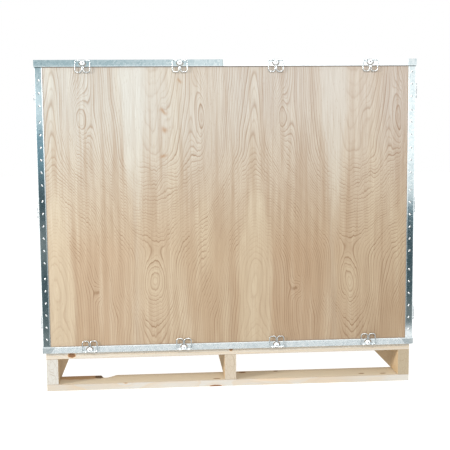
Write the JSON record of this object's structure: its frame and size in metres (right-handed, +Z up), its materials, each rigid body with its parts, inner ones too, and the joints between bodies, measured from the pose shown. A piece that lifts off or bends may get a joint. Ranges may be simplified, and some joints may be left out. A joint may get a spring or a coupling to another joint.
{
  "type": "shipping crate",
  "caption": "Knock-down plywood shipping crate with galvanised sheet edging, spring-wire clips and a lift-off lid, on a two-way stringer pallet.",
  "frame": {"origin": "middle of the footprint at floor level", "axes": "+X to the right seen from the front, +Y to the back, +Z up; the front wall faces -Y"},
  "size_m": [1.2504, 1.0474, 1.083],
  "materials": {
    "plywood": "bare rotary-cut hardwood veneer, vertical grain",
    "pallet_wood": "sawn pine, knotty",
    "galvanised_sheet": "galvanised, light spangle",
    "spring_wire": "zinc-plated spring wire",
    "nail_steel": "bright steel"
  },
  "bodies": {
    "crate": {"pallet_stringer_left": "pallet_wood", "pallet_stringer_centre": "pallet_wood", "pallet_stringer_right": "pallet_wood", "pallet_deck_board_1": "pallet_wood", "pallet_deck_board_2": "pallet_wood", "pallet_deck_board_3": "pallet_wood", "pallet_deck_board_4": "pallet_wood", "pallet_deck_board_5": "pallet_wood", "pallet_deck_board_6": "pallet_wood", "pallet_deck_board_7": "pallet_wood", "pallet_bottom_board_front": "pallet_wood", "pallet_bottom_board_middle": "pallet_wood", "pallet_bottom_board_back": "pallet_wood", "pallet_nails": "nail_steel", "base_floor_panel": "plywood", "base_edge_front": "galvanised_sheet", "base_edge_back": "galvanised_sheet", "base_edge_left": "galvanised_sheet", "base_edge_right": "galvanised_sheet", "front_panel": "plywood", "back_panel": "plywood", "left_panel": "plywood", "right_panel": "plywood", "front_panel_edge_left": "galvanised_sheet", "front_panel_edge_right": "galvanised_sheet", "back_panel_edge_left": "galvanised_sheet", "back_panel_edge_right": "galvanised_sheet", "left_panel_edge_front": "galvanised_sheet", "left_panel_edge_back": "galvanised_sheet", "right_panel_edge_front": "galvanised_sheet", "right_panel_edge_back": "galvanised_sheet"},
    "lid": {"lid_panel": "plywood", "lid_edge_front_left": "galvanised_sheet", "lid_edge_front_right": "galvanised_sheet", "lid_edge_back_left": "galvanised_sheet", "lid_edge_back_right": "galvanised_sheet", "lid_edge_left": "galvanised_sheet", "lid_edge_right": "galvanised_sheet"},
    "front_lid_clip_1": {"front_lid_clip_1": "spring_wire"},
    "front_lid_clip_2": {"front_lid_clip_2": "spring_wire"},
    "front_lid_clip_3": {"front_lid_clip_3": "spring_wire"},
    "front_lid_clip_4": {"front_lid_clip_4": "spring_wire"},
    "front_base_clip_1": {"front_base_clip_1": "spring_wire"},
    "front_base_clip_2": {"front_base_clip_2": "spring_wire"},
    "front_base_clip_3": {"front_base_clip_3": "spring_wire"},
    "front_base_clip_4": {"front_base_clip_4": "spring_wire"},
    "front_left_corner_clip_1": {"front_left_corner_clip_1": "spring_wire"},
    "front_left_corner_clip_2": {"front_left_corner_clip_2": "spring_wire"},
    "front_left_corner_clip_3": {"front_left_corner_clip_3": "spring_wire"},
    "front_right_corner_clip_1": {"front_right_corner_clip_1": "spring_wire"},
    "front_right_corner_clip_2": {"front_right_corner_clip_2": "spring_wire"},
    "front_right_corner_clip_3": {"front_right_corner_clip_3": "spring_wire"},
    "back_left_corner_clips": {"back_left_corner_clips": "spring_wire"},
    "back_right_corner_clips": {"back_right_corner_clips": "spring_wire"},
    "back_lid_clips": {"back_lid_clips": "spring_wire"},
    "left_lid_clips": {"left_lid_clips": "spring_wire"},
    "right_lid_clips": {"right_lid_clips": "spring_wire"},
    "back_base_clips": {"back_base_clips": "spring_wire"},
    "left_base_clips": {"left_base_clips": "spring_wire"},
    "right_base_clips": {"right_base_clips": "spring_wire"}
  },
  "joints": [
    {"name": "lid_lift", "type": "slide", "parent": "crate", "child": "lid", "axis": [0, 0, 1], "range_m": [0, 0.4]},
    {"name": "front_lid_clip_1_swing", "type": "hinge", "parent": "lid", "child": "front_lid_clip_1", "pos_m": [-0.465, -0.52065, 1.07925], "axis": [-1, 0, 0], "range_deg": [0, 110]},
    {"name": "front_lid_clip_2_swing", "type": "hinge", "parent": "lid", "child": "front_lid_clip_2", "pos_m": [-0.155, -0.52065, 1.07925], "axis": [-1, 0, 0], "range_deg": [0, 110]},
    {"name": "front_lid_clip_3_swing", "type": "hinge", "parent": "lid", "child": "front_lid_clip_3", "pos_m": [0.155, -0.52065, 1.07925], "axis": [-1, 0, 0], "range_deg": [0, 110]},
    {"name": "front_lid_clip_4_swing", "type": "hinge", "parent": "lid", "child": "front_lid_clip_4", "pos_m": [0.465, -0.52065, 1.07925], "axis": [-1, 0, 0], "range_deg": [0, 110]},
    {"name": "front_base_clip_1_swing", "type": "hinge", "parent": "crate", "child": "front_base_clip_1", "pos_m": [-0.465, -0.52065, 0.13275], "axis": [1, 0, 0], "range_deg": [0, 110]},
    {"name": "front_base_clip_2_swing", "type": "hinge", "parent": "crate", "child": "front_base_clip_2", "pos_m": [-0.155, -0.52065, 0.13275], "axis": [1, 0, 0], "range_deg": [0, 110]},
    {"name": "front_base_clip_3_swing", "type": "hinge", "parent": "crate", "child": "front_base_clip_3", "pos_m": [0.155, -0.52065, 0.13275], "axis": [1, 0, 0], "range_deg": [0, 110]},
    {"name": "front_base_clip_4_swing", "type": "hinge", "parent": "crate", "child": "front_base_clip_4", "pos_m": [0.465, -0.52065, 0.13275], "axis": [1, 0, 0], "range_deg": [0, 110]},
    {"name": "front_left_corner_clip_1_swing", "type": "hinge", "parent": "crate", "child": "front_left_corner_clip_1", "pos_m": [-0.62075, -0.51375, 0.238], "axis": [0, 0, 1], "range_deg": [0, 110]},
    {"name": "front_left_corner_clip_2_swing", "type": "hinge", "parent": "crate", "child": "front_left_corner_clip_2", "pos_m": [-0.62075, -0.51375, 0.602], "axis": [0, 0, 1], "range_deg": [0, 110]},
    {"name": "front_left_corner_clip_3_swing", "type": "hinge", "parent": "crate", "child": "front_left_corner_clip_3", "pos_m": [-0.62075, -0.51375, 0.98], "axis": [0, 0, 1], "range_deg": [0, 110]},
    {"name": "front_right_corner_clip_1_swing", "type": "hinge", "parent": "crate", "child": "front_right_corner_clip_1", "pos_m": [0.62075, -0.51375, 0.238], "axis": [0, 0, -1], "range_deg": [0, 110]},
    {"name": "front_right_corner_clip_2_swing", "type": "hinge", "parent": "crate", "child": "front_right_corner_clip_2", "pos_m": [0.62075, -0.51375, 0.602], "axis": [0, 0, -1], "range_deg": [0, 110]},
    {"name": "front_right_corner_clip_3_swing", "type": "hinge", "parent": "crate", "child": "front_right_corner_clip_3", "pos_m": [0.62075, -0.51375, 0.98], "axis": [0, 0, -1], "range_deg": [0, 110]},
    {"name": "back_left_corner_clips_swing", "type": "hinge", "parent": "crate", "child": "back_left_corner_clips", "pos_m": [-0.62075, 0.51375, 0.602], "axis": [0, 0, -1], "range_deg": [0, 110]},
    {"name": "back_right_corner_clips_swing", "type": "hinge", "parent": "crate", "child": "back_right_corner_clips", "pos_m": [0.62075, 0.51375, 0.602], "axis": [0, 0, 1], "range_deg": [0, 110]},
    {"name": "back_lid_clips_swing", "type": "hinge", "parent": "lid", "child": "back_lid_clips", "pos_m": [0, 0.52065, 1.07925], "axis": [1, 0, 0], "range_deg": [0, 110]},
    {"name": "left_lid_clips_swing", "type": "hinge", "parent": "lid", "child": "left_lid_clips", "pos_m": [-0.62215, 0, 1.07925], "axis": [0, 1, 0], "range_deg": [0, 110]},
    {"name": "right_lid_clips_swing", "type": "hinge", "parent": "lid", "child": "right_lid_clips", "pos_m": [0.62215, 0, 1.07925], "axis": [0, -1, 0], "range_deg": [0, 110]},
    {"name": "back_base_clips_swing", "type": "hinge", "parent": "crate", "child": "back_base_clips", "pos_m": [0, 0.52065, 0.13275], "axis": [-1, 0, 0], "range_deg": [0, 110]},
    {"name": "left_base_clips_swing", "type": "hinge", "parent": "crate", "child": "left_base_clips", "pos_m": [-0.62215, 0, 0.13275], "axis": [0, -1, 0], "range_deg": [0, 110]},
    {"name": "right_base_clips_swing", "type": "hinge", "parent": "crate", "child": "right_base_clips", "pos_m": [0.62215, 0, 0.13275], "axis": [0, 1, 0], "range_deg": [0, 110]}
  ]
}
